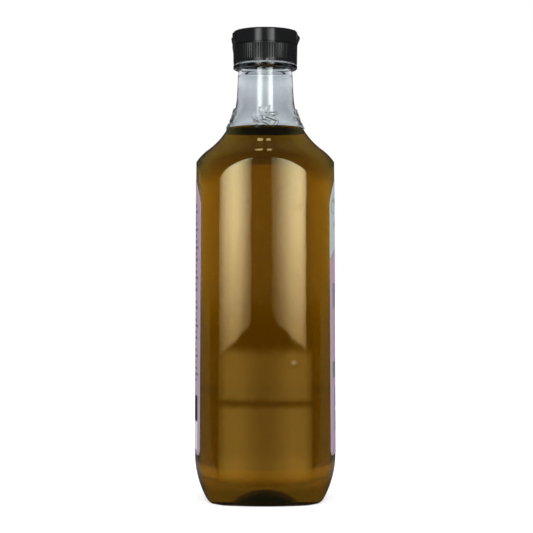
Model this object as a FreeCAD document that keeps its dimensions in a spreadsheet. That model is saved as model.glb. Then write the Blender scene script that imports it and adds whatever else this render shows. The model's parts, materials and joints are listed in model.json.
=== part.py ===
"""One litre olive oil bottle: clear blow-moulded PET with four convex panels, a black
flip-top closure, a paper label on two opposite panels, and the oil inside.

Frame: millimetres, +Z up, origin at the middle of the foot.  The labels face +X and -X,
the bare panels face -Y and +Y, the closure's hinge is on the -X side and its thumb tab
on the +X side.
"""
import FreeCAD, Part
import math
import os

import Sketcher
from FreeCAD import Vector

# ---------------------------------------------------------------- driving dimensions

SIZES = {
    # body of the bottle
    "half_width": (39.25, "axis to the crown of a panel, at the top of the heel"),
    "panel_radius": (82.0, "radius of a panel's convex curve, seen from above"),
    "corner_stand": (4.25, "how much further out the rounded corners stand than the panels"),
    "wall_lean": (0.27, "lean of the walls towards the axis, degrees"),
    "heel_height": (25.0, "height where the walls start to turn in to the foot"),
    "heel_radius": (50.0, "radius of that turn, seen from the side"),
    "foot_round": (1.2, "rounding where the heel meets the foot"),
    "base_rim": (11.25, "crown of a panel to the recess in the base, seen from above"),
    "recess_depth": (2.0, "depth of that recess"),
    "recess_slope": (3.5, "width of its sloping side"),
    "recess_flat": (7.0, "width of its flat floor, round the push-up"),
    "punt_rise": (9.0, "height of the top of the push-up above the foot"),
    "shoulder_radius": (26.0, "radius of the convex shoulder, seen from the side"),
    "sweep_radius": (39.6, "radius of the hollow sweep from the shoulder to the neck"),
    "edge_round": (1.5, "rounding of the edges between panels and corners"),
    "overcut": (3.0, "how far a cutting shape passes the surface that it cuts"),
    # neck
    "neck_root": (223.9, "height where the neck leaves the sweep"),
    "neck_length": (15.1, "neck root to the underside of the support ring"),
    "neck_taper": (0.79, "how much wider the neck is at its root than under the ring"),
    "neck_step": (0.45, "how far the neck under the ring lies inside the mouth's outside"),
    "ring_reach": (2.4, "how far the support ring stands out past the mouth"),
    "ring_thickness": (2.8, "thickness of the support ring"),
    "ring_round": (1.1, "rounding of the support ring's edges"),
    "lug_offset": (1.1, "axis to the middle of the lug that keeps the closure from turning"),
    "lug_width": (0.8, "width of the lug"),
    "lug_stand": (0.1, "how far the lug stands out past the closure"),
    "lug_height": (1.5, "height of the lug above the support ring"),
    "lug_clearance": (0.2, "lug to the sides of its notch in the closure"),
    "finish_radius": (15.5, "radius of the mouth that the closure grips"),
    "finish_height": (8.9, "height of the mouth above the support ring"),
    "finish_wall": (2.6, "wall of the mouth"),
    "neck_blend": (7.0, "below the support ring, where the neck's wall starts to thicken"),
    "wall": (0.6, "wall of the body"),
    "base_wall": (1.0, "wall of the base"),
    # oil
    "headspace": (35.0, "oil level to the underside of the support ring"),
    # closure: fixed part
    "cap_gap": (0.3, "support ring to the closure's lower edge"),
    "skirt_wall": (2.15, "wall of the closure's skirt, at the seam"),
    "cap_draft": (0.2, "how much narrower the skirt is at its lower edge"),
    "skirt_height": (10.3, "lower edge to the seam"),
    "thread_space": (0.35, "mouth to the inside of the skirt"),
    "deck_thickness": (1.3, "thickness of the deck under the lid"),
    "seal_length": (4.0, "length of the plug seal below the deck"),
    "seal_wall": (0.9, "wall of the plug seal"),
    "seal_clearance": (0.1, "plug seal to the bore"),
    "spout_bore": (6.0, "radius of the pouring hole"),
    "spout_wall": (1.0, "wall of the pouring spout"),
    "spout_height": (4.2, "height of the spout above the deck"),
    "lip_flare": (0.8, "how far the spout's lip flares out"),
    "lip_height": (1.3, "height of the flare"),
    "gutter_width": (2.4, "width of the drip gutter round the spout"),
    "gutter_depth": (0.5, "depth of the drip gutter"),
    "rib_count": (21, "grip grooves on each side"),
    "rib_sweep": (82.0, "angle that each set of grooves covers, degrees"),
    "rib_depth": (0.28, "depth of a groove"),
    "rib_width": (0.8, "width of a groove at the surface"),
    "rib_drop": (0.5, "seam to the top of the grooves"),
    "rib_height": (8.2, "length of the grooves"),
    # closure: lid
    "seam_gap": (0.3, "closed lid to the deck"),
    "lid_height": (7.7, "height of the lid"),
    "lid_wall": (1.3, "side wall of the lid"),
    "lid_crown": (1.2, "thickness of the lid's top"),
    "lid_round": (1.2, "rounding of the lid's top edge"),
    "plug_clearance": (0.4, "lid's plug to the pouring hole"),
    "plug_wall": (0.9, "wall of the plug"),
    "plug_reach": (0.9, "how deep the plug enters the spout"),
    "tab_reach": (1.4, "how far the thumb tab stands out"),
    "tab_sweep": (44.0, "angle that the tab covers, degrees"),
    "tab_height": (3.7, "lower edge of the lid to the crest of the tab"),
    "tab_edge": (0.6, "thickness of the tab's crest"),
    # living hinge
    "hinge_width": (14.0, "length of the hinge"),
    "hinge_stand": (0.25, "how far the flat faces that carry the hinge stand out"),
    "hinge_root": (2.1, "thickness of those faces' blocks"),
    "hinge_rise": (2.9, "height of the hinge line above the seam"),
    "hinge_fold": (0.6, "how far the hinge line stands out from the faces"),
    "hinge_leaf": (0.9, "height of each leaf of the hinge"),
    "hinge_slit": (0.2, "hinge line to each block"),
    "hinge_clearance": (0.4, "fixed block to the sides of the lid's notch"),
    # labels
    "label_margin": (1.345, "a label's side to the edge of its panel"),
    "label_rise": (1.0, "top of the heel to a label's lower edge"),
    "label_drop": (46.4, "root of the neck down to the top of a label's arch"),
    "arch_rise": (14.09, "height of that arch"),
    "label_corner": (4.0, "cut of a label's lower corners"),
    "label_thickness": (0.15, "thickness of a label"),
}

PANELS = 4

doc = FreeCAD.newDocument("OliveOilBottle")
sheet = doc.addObject("Spreadsheet::Sheet", "Sizes")
for row, (alias, (value, note)) in enumerate(SIZES.items(), start=1):
    sheet.set(f"A{row}", note)
    sheet.set(f"B{row}", str(value))
    sheet.setAlias(f"B{row}", alias)
doc.recompute()


class Size:
    """A length that keeps its number together with the sheet expression that gives it."""

    def __init__(self, value, text):
        self.value, self.text = value, text

    def _joined(self, other, sign, value):
        text = other.text if isinstance(other, Size) else str(other)
        return Size(value, f"({self.text} {sign} {text})")

    def __add__(self, other):
        return self._joined(other, "+", self.value + number(other))

    def __sub__(self, other):
        return self._joined(other, "-", self.value - number(other))

    def __mul__(self, other):
        return self._joined(other, "*", self.value * number(other))

    def __truediv__(self, other):
        return self._joined(other, "/", self.value / number(other))

    def __neg__(self):
        return Size(-self.value, f"(0 - {self.text})")


def number(length):
    """The plain number of a Size or of a number."""
    return length.value if isinstance(length, Size) else length


def size(alias):
    """The named size, as the sheet holds it."""
    return Size(SIZES[alias][0], f"Sizes.{alias}")


def root(length):
    """The square root of a Size."""
    return Size(math.sqrt(length.value), f"sqrt({length.text})")


overcut = size("overcut")


def bind(feature, name, length):
    """Tie one property of a feature to the sheet."""
    feature.setExpression(name, length.text)


# ---------------------------------------------------------------- heights and radii

corner_radius = size("half_width") + size("corner_stand")
panel_axis = size("panel_radius") - size("half_width")
recess_radius = size("half_width") - size("base_rim")
recess_floor = recess_radius - size("recess_slope")
punt_radius = recess_floor - size("recess_flat")
neck_radius = size("finish_radius") - size("neck_step")
neck_root_radius = neck_radius + size("neck_taper")
ring_radius = size("finish_radius") + size("ring_reach")
bore_radius = size("finish_radius") - size("finish_wall")
ring_low = size("neck_root") + size("neck_length")
ring_high = ring_low + size("ring_thickness")
finish_top = ring_high + size("finish_height")
oil_level = ring_low - size("headspace")
skirt_low = ring_high + size("cap_gap")
skirt_inner = size("finish_radius") + size("thread_space")
cap_radius = skirt_inner + size("skirt_wall")
lug_face = cap_radius + size("lug_stand")
seam = skirt_low + size("skirt_height")
deck_low = seam - size("deck_thickness")
seal_outer = bore_radius - size("seal_clearance")
spout_outer = size("spout_bore") + size("spout_wall")
spout_top = seam + size("spout_height")
lid_low = seam + size("seam_gap")
lid_top = lid_low + size("lid_height")
lid_ceiling = lid_top - size("lid_crown")
lid_inner = cap_radius - size("lid_wall")
plug_outer = size("spout_bore") - size("plug_clearance")
hinge_line = seam + size("hinge_rise")
hinge_face = cap_radius + size("hinge_stand")
hinge_back = hinge_face - size("hinge_root")
edge_forward = (size("panel_radius") * size("panel_radius") - panel_axis * panel_axis
                - corner_radius * corner_radius) / (panel_axis * 2)
edge_across = root(corner_radius * corner_radius - edge_forward * edge_forward)
label_half = edge_across - size("label_margin")
label_low = size("heel_height") + size("label_rise")
label_top = size("neck_root") - size("label_drop")
label_arch = (label_half * label_half + size("arch_rise") * size("arch_rise")) / (size("arch_rise") * 2)


# ---------------------------------------------------------------- sketches and features

def origin_feature(body, role):
    """One of a body's own planes or axes."""
    return next(f for f in body.Origin.OriginFeatures if f.Role == role)


def arc_middle(start, end, radius, side):
    """The middle point of an arc between two points; side 1 bulges to the chord's left."""
    chord = end - start
    half = chord.Length / 2
    rise = radius - math.sqrt(max(radius * radius - half * half, 0.0))
    left = Vector(-chord.y, chord.x, 0).normalize()
    return (start + end) / 2 + left * rise * side


def outline(body, name, corners, arcs=None, smooth=(), leaning=(), plumb=(), centred=(),
            plane="XZ_Plane", height=None, angle=None, axis_offset=None):
    """A closed sketch through corners, tied to the sheet.

    A coordinate given as a Size is bound to the sheet, a 0 lies on the axis, and a plain
    number is only where the solver starts.  arcs maps an edge's number to its radius and
    side; smooth lists the corners where two edges run into each other without a break;
    leaning edges have the lean of the walls, plumb ones are upright, and a centred arc
    has its centre on the upright axis.  height and angle lift and turn the sketch off its
    plane.  axis_offset adds an upright turning axis that far behind the origin, as the
    sketch's first construction line.
    """
    arcs = arcs or {}
    sketch = body.newObject("Sketcher::SketchObject", name)
    sketch.AttachmentSupport = [(origin_feature(body, plane), "")]
    sketch.MapMode = "FlatFace"
    if height:
        bind(sketch, "AttachmentOffset.Base.z", height)
    if angle:
        sketch.setExpression("AttachmentOffset.Rotation.Angle", f"{angle.text} * 1 deg")
    points = [Vector(number(x), number(y), 0) for x, y in corners]
    count = len(points)
    ends = []
    for edge, (start, end) in enumerate(zip(points, points[1:] + points[:1])):
        if edge in arcs:
            radius, side = arcs[edge]
            curve = Part.Arc(start, arc_middle(start, end, number(radius), side), end)
        else:
            curve = Part.LineSegment(start, end)
        index = sketch.addGeometry(curve, False)
        turned = (sketch.getPoint(index, 1) - start).Length > (sketch.getPoint(index, 2) - start).Length
        ends.append((2, 1) if turned else (1, 2))

    def dimension(kind, *places):
        """Add one dimension, bound to the sheet where its length is a Size."""
        *places, length = places
        constraint = sketch.addConstraint(Sketcher.Constraint(kind, *places, number(length)))
        if isinstance(length, Size):
            bind(sketch, f"Constraints[{constraint}]", length)

    for corner in range(count):
        before = (corner - 1) % count
        kind = "Tangent" if corner in smooth else "Coincident"
        sketch.addConstraint(Sketcher.Constraint(kind, before, ends[before][1], corner, ends[corner][0]))
    for corner, (x, y) in enumerate(corners):
        place = (corner, ends[corner][0])
        for kind, length, axis in (("DistanceX", x, -2), ("DistanceY", y, -1)):
            if isinstance(length, Size) and length.value > 0:
                dimension(kind, -1, 1, *place, length)
            elif isinstance(length, Size):
                dimension(kind, *place, -1, 1, -length)
            elif length == 0:
                sketch.addConstraint(Sketcher.Constraint("PointOnObject", *place, axis))
    for edge, (radius, side) in arcs.items():
        if isinstance(radius, Size):
            dimension("Radius", edge, radius)
        if edge in centred:
            sketch.addConstraint(Sketcher.Constraint("PointOnObject", edge, 3, -2))
    for edge in plumb:
        sketch.addConstraint(Sketcher.Constraint("Vertical", edge))
    for edge in leaning:
        upward = points[(edge + 1) % count].y > points[edge].y
        angle = size("wall_lean") + (90 if upward else 270)
        constraint = sketch.addConstraint(
            Sketcher.Constraint("Angle", edge, math.radians(angle.value)))
        sketch.setExpression(f"Constraints[{constraint}]", f"{angle.text} * 1 deg")
    if axis_offset is not None:
        top = Vector(-axis_offset.value, overcut.value, 0)
        line = sketch.addGeometry(Part.LineSegment(Vector(-axis_offset.value, 0, 0), top), True)
        sketch.addConstraint(Sketcher.Constraint("PointOnObject", line, 1, -1))
        sketch.addConstraint(Sketcher.Constraint("Vertical", line))
        dimension("DistanceX", line, 1, -1, 1, axis_offset)
        dimension("DistanceY", line, 1, line, 2, overcut)
    doc.recompute()
    return sketch


def turn(body, kind, name, sketch, axis="V_Axis", angle=None):
    """A Revolution or Groove of a sketch, all round or over a bound angle about its middle."""
    feature = body.newObject(f"PartDesign::{kind}", name)
    feature.Profile = sketch
    feature.ReferenceAxis = (sketch, [axis])
    feature.Angle = 360
    if angle:
        feature.Midplane = True
        feature.setExpression("Angle", angle)
    sketch.Visibility = False
    doc.recompute()
    return feature


def push(body, kind, name, sketch, length, middle=True):
    """A Pad or Pocket of a sketch, to both sides of it or forwards only."""
    feature = body.newObject(f"PartDesign::{kind}", name)
    feature.Profile = sketch
    feature.SideType = "Symmetric" if middle else "One side"
    bind(feature, "Length", length)
    doc.recompute()
    return feature


def round_the(body, base, name, radius, chosen):
    """A Fillet on the base feature's edges that the test picks."""
    doc.recompute()
    edges = [f"Edge{i}" for i, edge in enumerate(base.Shape.Edges, start=1) if chosen(edge)]
    feature = body.newObject("PartDesign::Fillet", name)
    feature.Base = (base, edges)
    bind(feature, "Radius", radius)
    doc.recompute()
    return feature


# ---------------------------------------------------------------- bottle and oil

def shoulder(wall_radius, wall_height, sweep, convex, root_radius, root_height, root_lean):
    """Where wall, convex shoulder, hollow sweep and neck run into each other: the starting
    points of the solver, from two circles that touch."""
    sweep_centre = Vector(root_radius + sweep * math.cos(root_lean),
                          root_height + sweep * math.sin(root_lean), 0)
    lean = math.radians(SIZES["wall_lean"][0])
    across = wall_radius - convex
    for _ in range(3):
        down = math.sqrt((sweep + convex) ** 2 - (sweep_centre.x - across) ** 2)
        height = sweep_centre.y - down
        across = wall_radius - math.tan(lean) * (height - wall_height) - convex / math.cos(lean)
    centre = Vector(across, height, 0)
    wall_end = centre + Vector(math.cos(lean), math.sin(lean), 0) * convex
    meeting = centre + (sweep_centre - centre).normalize() * convex
    return wall_end, meeting


def foot_inset(radius, height):
    """How far a heel of this radius has turned in over this height."""
    return radius - math.sqrt(radius * radius - height * height)


def panelled_form(name, inset, floor, neck_corners, neck_arcs):
    """A body turned about the axis, with four convex panels cut into it.

    inset is how far its wall lies inside the bottle's outer surface, floor the height of
    its lowest face, and neck_corners what follows above the root of the neck.
    """
    body = doc.addObject("PartDesign::Body", name)
    wall_radius = corner_radius - inset
    heel = size("heel_radius") - inset
    sweep = size("sweep_radius") + inset
    convex = size("shoulder_radius") - inset
    turned_in = foot_inset(heel.value, SIZES["heel_height"][0] - number(floor))
    root_radius = neck_root_radius - inset
    first = neck_corners[0]
    root_lean = math.atan2(root_radius.value - number(first[0]),
                           number(first[1]) - SIZES["neck_root"][0])
    wall_end, meeting = shoulder(wall_radius.value, SIZES["heel_height"][0], sweep.value,
                                 convex.value, root_radius.value, SIZES["neck_root"][0],
                                 root_lean)
    lower = floor if isinstance(floor, Size) else 0
    recess = size("recess_depth") + floor
    corners = [
        (0, size("punt_rise") + floor),
        (punt_radius, recess),
        (recess_floor, recess),
        (recess_radius, lower),
        (wall_radius.value - turned_in, lower),
        (wall_radius, size("heel_height")),
        (wall_end.x, wall_end.y),
        (meeting.x, meeting.y),
        (root_radius, size("neck_root")),
    ] + neck_corners
    dome = SIZES["punt_rise"][0] - SIZES["recess_depth"][0]
    dome_radius = (dome ** 2 + punt_radius.value ** 2) / (2 * dome)
    arcs = {0: (dome_radius, 1), 4: (heel, -1), 6: (convex, -1), 7: (sweep, 1)}
    arcs.update({edge + 9: arc for edge, arc in neck_arcs.items()})
    profile = outline(body, name + "_profile", corners, arcs, smooth=(5, 6, 7, 8),
                      leaning=(5,), centred=(0,))
    turn(body, "Revolution", name + "_turned", profile)

    side = size("half_width") - inset
    far = corner_radius + overcut
    high = ring_low
    leaned = math.tan(math.radians(SIZES["wall_lean"][0])) * (high.value - SIZES["heel_height"][0])
    beyond = outline(body, name + "_panel_profile", [
        (side.value - turned_in, -overcut),
        (side.value - turned_in, lower),
        (side, size("heel_height")),
        (side.value - leaned, high),
        (far, high),
        (far, -overcut),
    ], {1: (heel, -1)}, smooth=(2,), leaning=(2,), plumb=(0,), axis_offset=panel_axis)
    panel = turn(body, "Groove", name + "_panel", beyond, axis="Axis0")
    panels = body.newObject("PartDesign::PolarPattern", name + "_panels")
    panels.Originals = [panel]
    panels.Axis = (origin_feature(body, "Z_Axis"), [""])
    panels.Angle = 360
    panels.Occurrences = PANELS
    body.Tip = panels
    doc.recompute()
    return body, panels


outer, outer_panels = panelled_form("outer", 0, 0, [
    (neck_radius, ring_low),
    (ring_radius - size("ring_round"), ring_low),
    (ring_radius, ring_low + size("ring_round")),
    (ring_radius, ring_high - size("ring_round")),
    (ring_radius - size("ring_round"), ring_high),
    (size("finish_radius"), ring_high),
    (size("finish_radius"), finish_top),
    (0, finish_top),
], {1: (size("ring_round"), -1), 3: (size("ring_round"), -1)})

neck_narrowing = (neck_root_radius - neck_radius) / size("neck_length")
cavity, cavity_panels = panelled_form("cavity", size("wall"), size("base_wall"), [
    (neck_radius - size("wall") + neck_narrowing * size("neck_blend"),
     ring_low - size("neck_blend")),
    (bore_radius, ring_low),
    (bore_radius, finish_top + overcut),
    (0, finish_top + overcut),
], {})


def panel_edge(edge):
    """Whether an edge runs between a panel and a corner or the shoulder."""
    box = edge.BoundBox
    middle = edge.valueAt((edge.FirstParameter + edge.LastParameter) / 2)
    upright = box.ZLength > SIZES["edge_round"][0] / 2
    return upright and math.hypot(middle.x, middle.y) > recess_radius.value \
        and box.ZMax < SIZES["neck_root"][0]


softened = round_the(outer, outer_panels, "outer_edges", size("edge_round"), panel_edge)


def foot_edge(edge):
    """Whether an edge is part of the outline that the bottle stands on."""
    box = edge.BoundBox
    middle = edge.valueAt((edge.FirstParameter + edge.LastParameter) / 2)
    flat = max(abs(box.ZMin), abs(box.ZMax)) < SIZES["foot_round"][0] / 10
    return flat and math.hypot(middle.x, middle.y) > recess_radius.value + SIZES["foot_round"][0]


round_the(outer, softened, "outer_foot", size("foot_round"), foot_edge)

lug_low = ring_high - size("ring_round")
lug_top = ring_high + size("lug_height")
lug_near = size("lug_offset") - size("lug_width") / 2
lug_far = size("lug_offset") + size("lug_width") / 2
lug_root = (size("finish_radius") + bore_radius) / 2
for side, outward in (("front", 1), ("back", -1)):
    lug = outline(outer, f"{side}_lug_profile", [
        (lug_near, -lug_root * outward),
        (lug_near, -lug_face * outward),
        (lug_far, -lug_face * outward),
        (lug_far, -lug_root * outward),
    ], plane="XY_Plane", height=lug_low)
    outer.Tip = push(outer, "Pad", f"{side}_lug", lug, lug_top - lug_low, middle=False)

bottle = doc.addObject("Part::Cut", "bottle")
bottle.Base = outer
bottle.Tool = cavity

fill = doc.addObject("Part::Cylinder", "fill")
bind(fill, "Radius", corner_radius + overcut)
bind(fill, "Height", oil_level)
oil = doc.addObject("Part::Common", "oil")
oil.Base = cavity
oil.Tool = fill


# ---------------------------------------------------------------- closure: fixed part

base = doc.addObject("PartDesign::Body", "closure_base")
spout_flare = spout_top - size("lip_height")
gutter_edge = spout_outer + size("gutter_width")
gutter_floor = seam - size("gutter_depth")
seal_low = deck_low - size("seal_length")
seal_inner = seal_outer - size("seal_wall")
turn(base, "Revolution", "skirt_and_deck", outline(base, "skirt_and_deck_profile", [
    (skirt_inner, skirt_low),
    (cap_radius - size("cap_draft"), skirt_low),
    (cap_radius, seam),
    (gutter_edge, seam),
    (gutter_edge, gutter_floor),
    (spout_outer, gutter_floor),
    (spout_outer, spout_flare),
    (spout_outer + size("lip_flare"), spout_top),
    (size("spout_bore"), spout_top),
    (size("spout_bore"), deck_low),
    (seal_inner, deck_low),
    (seal_inner, seal_low),
    (seal_outer, seal_low),
    (seal_outer, deck_low),
    (skirt_inner, deck_low),
]))

block_low = seam - size("hinge_root")
leaf_low = hinge_line - size("hinge_slit") - size("hinge_leaf")
push(base, "Pad", "hinge_block", outline(base, "hinge_block_profile", [
    (-hinge_back, block_low - size("hinge_root")),
    (-(cap_radius - size("cap_draft")), block_low - size("hinge_root")),
    (-hinge_face, block_low),
    (-hinge_face, leaf_low),
    (-(hinge_face + size("hinge_fold")), hinge_line - size("hinge_slit") / 2),
    (-hinge_face, hinge_line - size("hinge_slit")),
    (-hinge_back, hinge_line - size("hinge_slit")),
]), size("hinge_width"))

notch_near = lug_near - size("lug_clearance")
notch_far = lug_far + size("lug_clearance")
for side, outward in (("front", 1), ("back", -1)):
    notch = outline(base, f"{side}_lug_notch_profile", [
        (notch_near, -size("finish_radius") * outward),
        (notch_near, -(lug_face + overcut) * outward),
        (notch_far, -(lug_face + overcut) * outward),
        (notch_far, -size("finish_radius") * outward),
    ], plane="XY_Plane", height=skirt_low)
    notch_rise = lug_top + size("lug_clearance") - skirt_low
    push(base, "Pocket", f"{side}_lug_notch", notch, notch_rise * 2)

groove_floor = cap_radius - size("cap_draft") / 2 - size("rib_depth")
groove_reach = cap_radius + size("rib_depth")
groove_middle = seam - size("rib_drop") - size("rib_height") / 2
grooves = []
for side, outward in (("front", 1), ("back", -1)):
    groove = outline(base, f"{side}_groove_profile", [
        (0, -groove_floor * outward),
        (-size("rib_width") * outward, -groove_reach * outward),
        (size("rib_width") * outward, -groove_reach * outward),
    ], plane="XY_Plane", height=groove_middle, angle=-size("rib_sweep") / 2)
    grooves.append(push(base, "Pocket", f"{side}_groove", groove, size("rib_height")))
grip = base.newObject("PartDesign::PolarPattern", "grip")
grip.Originals = grooves
grip.Axis = (origin_feature(base, "Z_Axis"), [""])
grip.setExpression("Angle", "Sizes.rib_sweep * 1 deg")
grip.setExpression("Occurrences", "Sizes.rib_count")
base.Tip = grip
doc.recompute()


# ---------------------------------------------------------------- closure: lid

lid = doc.addObject("PartDesign::Body", "closure_lid")
plug_low = spout_top - size("plug_reach")
plug_inner = plug_outer - size("plug_wall")
turn(lid, "Revolution", "lid_shell", outline(lid, "lid_shell_profile", [
    (0, lid_top),
    (cap_radius - size("lid_round"), lid_top),
    (cap_radius, lid_top - size("lid_round")),
    (cap_radius, lid_low),
    (lid_inner, lid_low),
    (lid_inner, lid_ceiling),
    (plug_outer, lid_ceiling),
    (plug_outer, plug_low),
    (plug_inner, plug_low),
    (plug_inner, lid_ceiling),
    (0, lid_ceiling),
], {1: (size("lid_round"), 1)}))

block_foot = hinge_line + size("hinge_slit")
notch_width = size("hinge_width") + size("hinge_clearance") * 2
notch_depth = hinge_back - size("hinge_clearance")
push(lid, "Pocket", "hinge_notch", outline(lid, "hinge_notch_profile", [
    (-(hinge_face + overcut), lid_low - overcut),
    (-notch_depth, lid_low - overcut),
    (-notch_depth, block_foot),
    (-(hinge_face + overcut), block_foot),
]), notch_width)
push(lid, "Pad", "hinge_block_above", outline(lid, "hinge_block_above_profile", [
    (-hinge_back, block_foot),
    (-hinge_face, block_foot),
    (-(hinge_face + size("hinge_fold")), hinge_line + size("hinge_slit") / 2),
    (-hinge_face, block_foot + size("hinge_leaf")),
    (-hinge_face, lid_top - size("hinge_root")),
    (-(cap_radius - size("lid_round")), lid_top - size("lid_round") / 2),
    (-hinge_back, lid_top - size("lid_round") / 2),
]), size("hinge_width"))

tab_crest = lid_low + size("tab_height")
tab_radius = cap_radius + size("tab_reach")
turn(lid, "Revolution", "thumb_tab", outline(lid, "thumb_tab_profile", [
    (lid_inner + size("lid_wall") / 2, lid_low),
    (cap_radius, lid_low),
    (tab_radius, tab_crest),
    (tab_radius, tab_crest + size("tab_edge")),
    (cap_radius - size("lid_round"), lid_top),
    (lid_inner + size("lid_wall") / 2, lid_top),
]), angle="Sizes.tab_sweep * 1 deg")


# ---------------------------------------------------------------- labels

def label(name, turned):
    """A paper label that follows its panel, with an arched top and cut lower corners."""
    strip = doc.addObject("PartDesign::Body", name + "_strip")
    crown = size("half_width")
    top = label_top + overcut
    lean = math.tan(math.radians(SIZES["wall_lean"][0])) * (top.value - SIZES["heel_height"][0])
    paper = outline(strip, name + "_paper", [
        (crown, size("heel_height")),
        (crown + size("label_thickness"), size("heel_height")),
        (crown.value + SIZES["label_thickness"][0] - lean, top),
        (crown.value - lean, top),
    ], leaning=(1, 3), axis_offset=panel_axis)
    reach = (label_half + overcut).text
    turn(strip, "Revolution", name + "_bent", paper, axis="Axis0",
         angle=f"2 * asin({reach} / Sizes.panel_radius)")

    shape = doc.addObject("PartDesign::Body", name + "_shape")
    half, low, cut = label_half, label_low, size("label_corner")
    spring = label_top.value - SIZES["arch_rise"][0]
    cutter = outline(shape, name + "_outline", [
        (-half, low + cut),
        (-(half - cut), low),
        (half - cut, low),
        (half, low + cut),
        (half, spring),
        (-half, spring),
    ], {0: (cut, -1), 2: (cut, -1), 4: (label_arch, -1)}, centred=(4,), plane="YZ_Plane")
    crest = label_top - label_arch
    centre = cutter.addConstraint(Sketcher.Constraint("DistanceY", -1, 1, 4, 3, crest.value))
    bind(cutter, f"Constraints[{centre}]", crest)
    push(shape, "Pad", name + "_cutter", cutter, corner_radius + overcut, middle=False)

    piece = doc.addObject("Part::Common", name)
    piece.Base = strip
    piece.Tool = shape
    piece.Placement = FreeCAD.Placement(Vector(), FreeCAD.Rotation(Vector(0, 0, 1), turned))
    return piece


label_front = label("label_front", 0)
label_back = label("label_back", 180)


# ---------------------------------------------------------------- checks and files

PIECES = [bottle, oil, base, lid, label_front, label_back]

doc.recompute()
for thing in doc.Objects:
    if "Invalid" in thing.State or "Error" in thing.State:
        raise RuntimeError(f"{thing.Name} did not build: {thing.State}")
    if thing.TypeId == "Sketcher::SketchObject" and not thing.FullyConstrained:
        raise RuntimeError(f"{thing.Name} is not fully tied to the sheet")

os.makedirs("parts", exist_ok=True)
for piece in PIECES:
    shape = piece.Shape
    if shape.isNull() or not shape.isValid() or len(shape.Solids) != 1:
        raise RuntimeError(f"{piece.Label} is not one sound solid")
    shape.exportStep(f"parts/{piece.Label}.step")
    box = shape.optimalBoundingBox(True, False)
    print(f"{piece.Label}: {shape.Volume:.1f} mm3, {len(shape.Faces)} faces, "
          f"x {box.XMin:.2f} to {box.XMax:.2f}, y {box.YMin:.2f} to {box.YMax:.2f}, "
          f"z {box.ZMin:.2f} to {box.ZMax:.2f}")
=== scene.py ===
"""A litre of olive oil: clear PET bottle, the oil in it, a black flip-top closure and two
paper labels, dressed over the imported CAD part.  Metres, +Z up, origin at the foot."""
import json
import math

import bpy
import numpy as np
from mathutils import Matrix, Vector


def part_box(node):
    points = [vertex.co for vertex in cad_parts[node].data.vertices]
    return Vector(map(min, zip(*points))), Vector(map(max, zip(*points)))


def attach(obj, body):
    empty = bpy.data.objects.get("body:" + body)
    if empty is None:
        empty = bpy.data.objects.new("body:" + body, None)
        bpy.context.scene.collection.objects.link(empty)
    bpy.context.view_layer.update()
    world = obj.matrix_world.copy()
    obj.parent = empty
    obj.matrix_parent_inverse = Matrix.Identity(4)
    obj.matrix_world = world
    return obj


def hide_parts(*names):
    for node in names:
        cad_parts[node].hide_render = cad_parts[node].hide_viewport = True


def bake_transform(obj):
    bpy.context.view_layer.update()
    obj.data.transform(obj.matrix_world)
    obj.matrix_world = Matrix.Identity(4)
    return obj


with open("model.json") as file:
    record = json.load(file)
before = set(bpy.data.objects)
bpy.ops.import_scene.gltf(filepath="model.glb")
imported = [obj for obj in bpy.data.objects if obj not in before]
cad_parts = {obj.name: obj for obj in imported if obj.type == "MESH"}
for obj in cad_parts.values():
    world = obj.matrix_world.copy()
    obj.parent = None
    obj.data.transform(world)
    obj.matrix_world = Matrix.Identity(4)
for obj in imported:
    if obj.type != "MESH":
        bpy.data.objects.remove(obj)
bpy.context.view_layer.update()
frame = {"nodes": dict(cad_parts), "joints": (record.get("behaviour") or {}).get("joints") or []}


# ------------------------------------------------------------------ the bottle's clear shell
# Blow-moulded PET: a preform's thick neck with its support ring, stretched into a thin
# body with four convex panels, a hollow shoulder and a pushed-up base.  One closed wall,
# outer and inner face together.  Each side carries a small raised olive sprig.

MM = 0.001
HALF_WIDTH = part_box("bottle")[1].x       # axis to the crown of a panel
NECK_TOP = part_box("bottle")[1].z
OIL_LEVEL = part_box("oil")[1].z
PANEL_RADIUS = 82.0 * MM
PANEL_AXIS = PANEL_RADIUS - HALF_WIDTH   # how far behind the axis a panel's centre lies
CORNER_RADIUS = HALF_WIDTH + 4.25 * MM
EDGE_BLEND = 0.1 * MM                    # how deep the panels' edges are rounded off
WALL_LEAN = math.tan(math.radians(0.27))
HEEL_HEIGHT = 25.0 * MM
HEEL_RADIUS = 50.0 * MM
FOOT_ROUND = 1.2 * MM
SHOULDER_RADIUS = 26.0 * MM
SWEEP_RADIUS = 39.6 * MM
NECK_FOOT = 200.0 * MM                   # where the body's rows end and the neck's start
NECK_ROOT = 223.9 * MM
NECK_ROOT_RADIUS = 15.84 * MM
NECK_RADIUS = 15.05 * MM
RING_LOW = 239.0 * MM
RING_HIGH = 241.8 * MM
RING_RADIUS = 17.9 * MM
RING_ROUND = 1.1 * MM
FINISH_RADIUS = 15.5 * MM
BORE_RADIUS = 12.9 * MM
MOUTH_BEVEL = 0.4 * MM
WALL = 0.6 * MM
BASE_WALL = 1.0 * MM
NECK_EXTRA = 0.9 * MM                    # the neck is stretched less, so its wall is thicker
NECK_EXTRA_RUN = 24.0 * MM               # and reaches that over this height above the oil
NECK_BLEND = 3.4 * MM                    # below the ring's top, the wall fills in to the bore
MENISCUS = 2.2 * MM                      # how far the oil climbs the wall round its surface
PUNT = [(17.5 * MM, 2.0 * MM), (24.5 * MM, 2.0 * MM), (28.0 * MM, 0.0)]
PUNT_RISE = 9.0 * MM
DOME_ROWS = 14
QUARTER = math.pi / 2

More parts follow.
